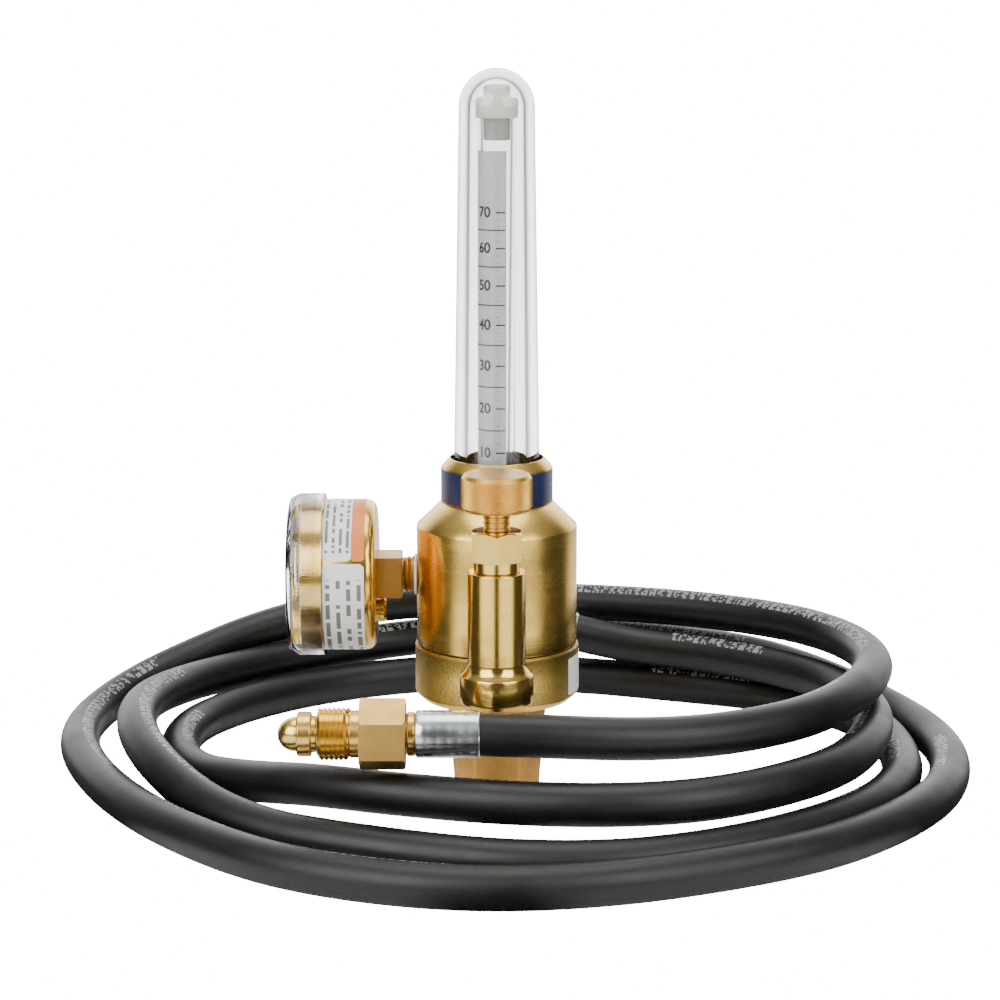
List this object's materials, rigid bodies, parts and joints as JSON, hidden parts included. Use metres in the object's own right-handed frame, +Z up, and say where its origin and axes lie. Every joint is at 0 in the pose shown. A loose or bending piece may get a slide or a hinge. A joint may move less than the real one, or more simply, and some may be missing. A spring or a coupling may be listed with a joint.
{
  "type": "gas regulator with flow tube",
  "caption": "Compressed gas pressure regulator with a clear flow tube, side gauge, knurled outlet valve, cylinder inlet nut and a coiled charcoal hose with threaded end fittings.",
  "frame": {"origin": "centre of the flat foot under the hexagonal nub", "axes": "+Z up along the body and the flow tube, -Y towards the outlet valve, -X towards the gauge, +Y towards the cylinder inlet"},
  "size_m": [0.296, 0.264, 0.228],
  "materials": {
    "brass_turned": "satin turned",
    "brass_forged": "rough forged rim, machined edge",
    "brass_pale": "bright machined",
    "brass_knob": "knurled",
    "bronze_tube": "drawn strip",
    "sintered": "porous",
    "steel": "satin",
    "zinc": "zinc plated",
    "ball": "smooth",
    "nitrile": "matte",
    "hose_rubber": "matte, fine wrap",
    "clear": "clear moulded polycarbonate",
    "clear_inner": "clear",
    "ivory": "moulded",
    "seat_white": "smooth",
    "label_white": "satin film",
    "label_orange": "satin film",
    "label_blue": "satin film",
    "scale_film": "printed film",
    "dial_white": "satin paint",
    "pointer_black": "matte paint"
  },
  "bodies": {
    "regulator": {"bonnet": "brass_forged", "rim_label": "label_white", "preset_screw": "brass_turned", "spring_seat": "steel", "pressure_spring": "steel", "diaphragm": "nitrile", "slip_ring": "steel", "regulator_body": "brass_turned", "nozzle": "brass_pale", "poppet_spring": "steel", "tube_collar": "brass_turned", "collar_band": "label_blue", "cover_oring": "nitrile", "cover_tube": "clear", "tube_gasket": "nitrile", "metering_tube": "clear_inner", "tube_foot": "clear_inner", "float_stop": "steel", "scale_strip": "scale_film", "tube_plug": "ivory", "gauge_socket": "brass_turned", "gauge_case": "brass_pale", "gauge_vent_plug": "brass_turned", "gauge_label": "label_white", "gauge_label_flash": "label_orange", "bourdon_tube": "bronze_tube", "movement_plates": "brass_pale", "gauge_dial": "dial_white", "dial_screws": "steel", "gauge_lens": "clear", "valve_body": "brass_turned", "valve_bonnet": "brass_turned", "stem_packing": "nitrile", "inlet_nipple": "brass_pale", "inlet_filter": "sintered", "hose_front_nipple": "brass_pale", "hose_front_ferrule": "zinc", "hose": "hose_rubber", "hose_rear_ferrule": "zinc", "hose_rear_nipple": "brass_pale"},
    "valve_stem": {"valve_stem": "steel"},
    "valve_knob": {"valve_knob": "brass_knob", "knob_setscrew": "steel"},
    "float": {"float_ball": "ball"},
    "pointer": {"pointer_pinion": "brass_pale", "gauge_pointer": "pointer_black"},
    "sector": {"sector_gear": "brass_pale"},
    "diaphragm_plate": {"diaphragm_plate": "brass_turned"},
    "poppet": {"poppet": "steel", "poppet_seat": "seat_white"},
    "spring_button": {"spring_button": "brass_turned"},
    "inlet_nut": {"inlet_nut": "brass_pale"},
    "hose_front_nut": {"hose_front_nut": "brass_pale"},
    "hose_rear_nut": {"hose_rear_nut": "brass_pale"}
  },
  "joints": [
    {"name": "stem_lift", "type": "slide", "parent": "regulator", "child": "valve_stem", "axis": [0, 0, 1], "range_m": [0, 0.00272]},
    {"name": "knob_turn", "type": "hinge", "parent": "valve_stem", "child": "valve_knob", "pos_m": [0, -0.038, 0.103], "axis": [0, 0, 1], "range_deg": [0, 1080]},
    {"name": "float_rise", "type": "slide", "parent": "regulator", "child": "float", "axis": [0, 0, 1], "range_m": [0, 0.09]},
    {"name": "pointer_turn", "type": "hinge", "parent": "regulator", "child": "pointer", "pos_m": [-0.045, 0, 0.069], "axis": [1, 0, 0], "range_deg": [0, 270]},
    {"name": "sector_turn", "type": "hinge", "parent": "regulator", "child": "sector", "pos_m": [-0.045, 0.01072, 0.06], "axis": [1, 0, 0], "range_deg": [-45, 0]},
    {"name": "diaphragm_push", "type": "slide", "parent": "regulator", "child": "diaphragm_plate", "axis": [0, 0, 1], "range_m": [-0.0008, 0], "deforming": ["diaphragm"]},
    {"name": "poppet_lift", "type": "slide", "parent": "regulator", "child": "poppet", "axis": [0, 0, 1], "range_m": [-0.0008, 0], "deforming": ["poppet_spring"]},
    {"name": "button_push", "type": "slide", "parent": "regulator", "child": "spring_button", "axis": [0, 0, 1], "range_m": [-0.0008, 0], "deforming": ["pressure_spring"]},
    {"name": "inlet_nut_turn", "type": "hinge", "parent": "regulator", "child": "inlet_nut", "pos_m": [0, 0.04, 0.069], "axis": [0, 1, 0], "continuous": true},
    {"name": "front_nut_turn", "type": "hinge", "parent": "regulator", "child": "hose_front_nut", "pos_m": [-0.034, -0.069, 0.0362], "axis": [-1, 0, 0], "continuous": true},
    {"name": "rear_nut_turn", "type": "hinge", "parent": "regulator", "child": "hose_rear_nut", "pos_m": [-0.00025, 0.1025, 0.03442], "axis": [-0.9397, 0, 0.342], "continuous": true}
  ],
  "couplings": [
    {"joint": "knob_turn", "follows": "stem_lift", "rad_per_m": 6927.4},
    {"joint": "sector_turn", "follows": "pointer_turn", "ratio": -0.16667},
    {"joint": "poppet_lift", "follows": "diaphragm_push", "ratio": 1},
    {"joint": "button_push", "follows": "diaphragm_push", "ratio": 1}
  ]
}
